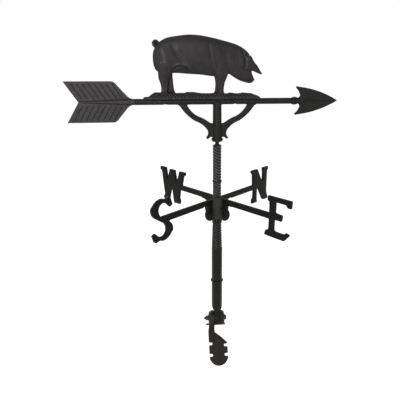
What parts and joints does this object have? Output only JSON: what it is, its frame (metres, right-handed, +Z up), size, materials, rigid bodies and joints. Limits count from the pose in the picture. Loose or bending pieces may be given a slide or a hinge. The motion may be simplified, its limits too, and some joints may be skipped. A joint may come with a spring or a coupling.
{
  "type": "weathervane",
  "caption": "Rooftop weathervane: a standing pig over a long arrow that turns on a mast, with compass letters on crossed arms and a two-footed ridge mount.",
  "frame": {"origin": "where the mast's axis meets the plane of the front foot's underside at rest, at the ridge of the roof", "axes": "+Z up the mast; +X along the arrow towards its head at rest, which is also the ridge bolt's axis; -Y towards the viewer of the picture, +Y away"},
  "size_m": [0.6095, 0.3245, 0.8162],
  "materials": {
    "cast": "satin black powder coat on cast aluminium",
    "figure": "satin charcoal powder coat on cast aluminium",
    "fletching": "satin charcoal powder coat on cast aluminium",
    "letters": "satin black powder coat on cast aluminium",
    "rod": "satin black coated steel",
    "ball": "bare bearing steel",
    "bushing": "plain bronze",
    "fastener": "black oxide steel"
  },
  "bodies": {
    "mast": {"lower_mast": "cast", "upper_tube": "cast", "center_rod": "rod", "pivot_ball": "ball", "ridge_bolt": "fastener", "ridge_nut": "fastener", "flat_washers": "fastener", "lock_washer": "fastener"},
    "vane": {"arrow_frame": "cast", "stem_bushing": "bushing", "pig_figure": "figure", "ornament_screws": "fastener", "tail_fletching": "fletching", "tail_pin": "fastener", "arrow_head": "cast", "head_set_screw": "fastener"},
    "compass": {"north_south_bar": "letters", "east_west_bar": "letters", "upper_hub_screw": "fastener", "lower_hub_screw": "fastener"},
    "front_foot": {"front_foot": "cast"},
    "rear_foot": {"rear_foot": "cast"}
  },
  "joints": [
    {"name": "vane_spin", "type": "hinge", "parent": "mast", "child": "vane", "pos_m": [0, 0, 0.60628], "axis": [0, 0, 1], "continuous": true},
    {"name": "compass_turn", "type": "hinge", "parent": "mast", "child": "compass", "pos_m": [0, 0, 0.37248], "axis": [0, 0, 1], "continuous": true},
    {"name": "front_foot_fold", "type": "hinge", "parent": "mast", "child": "front_foot", "pos_m": [0, 0, 0.02828], "axis": [1, 0, 0], "range_deg": [-45, 15]},
    {"name": "rear_foot_fold", "type": "hinge", "parent": "mast", "child": "rear_foot", "pos_m": [0, 0, 0.02828], "axis": [1, 0, 0], "range_deg": [-23, 37]}
  ]
}
